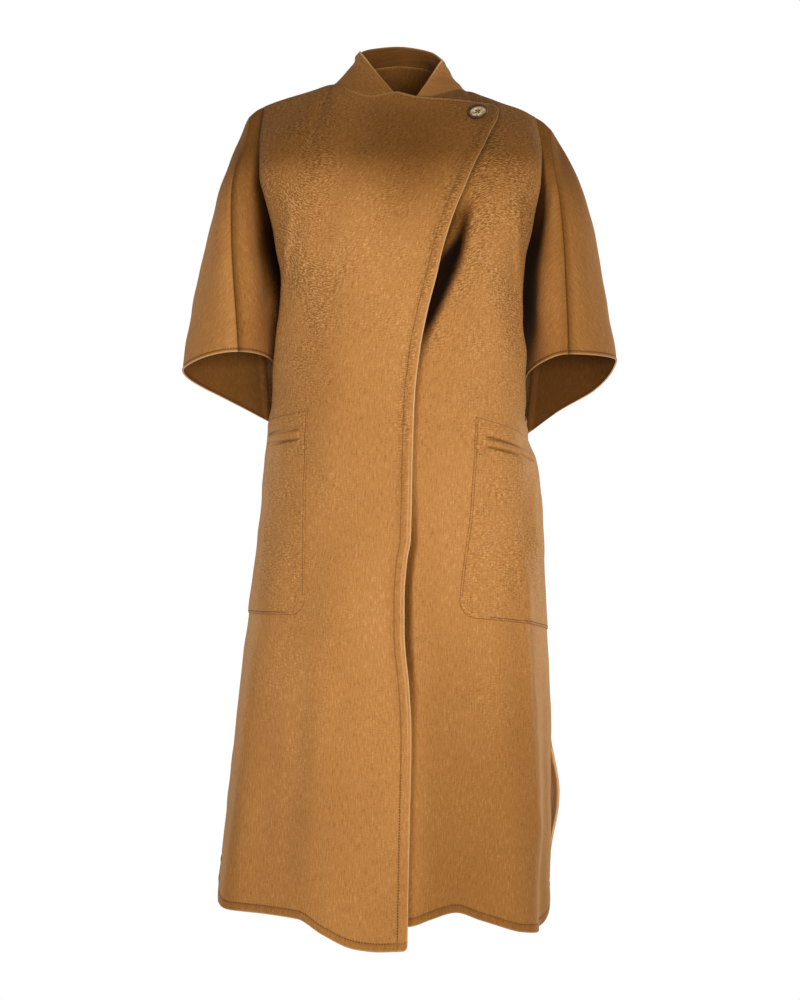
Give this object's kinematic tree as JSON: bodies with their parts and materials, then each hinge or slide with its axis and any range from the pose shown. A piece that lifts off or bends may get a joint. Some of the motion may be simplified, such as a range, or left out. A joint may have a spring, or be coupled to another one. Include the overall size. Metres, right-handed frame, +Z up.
{
  "type": "wool cape",
  "caption": "Worn wool cape coat with wide elbow-length sleeves cut in one with its fronts and back, low stand collar, asymmetric shoulder-buttoned overlap and welt pockets.",
  "frame": {"origin": "the middle of the base of the neck, level with the shoulder points beside it, where the wearer's shoulders carry the garment", "axes": "+Z up along the wearer's height, +X to the wearer's left, -Y to the wearer's front"},
  "size_m": [0.5538, 0.328, 1.1347],
  "materials": {
    "wool": "brushed double-faced wool, camel",
    "horn": "polished horn, dark rim and pale middle"
  },
  "bodies": {
    "root": {"right_front": "wool", "left_front": "wool", "back": "wool", "collar": "wool", "right_pocket": "wool", "left_pocket": "wool", "right_welt": "wool", "left_welt": "wool", "button": "horn"}
  },
  "joints": []
}
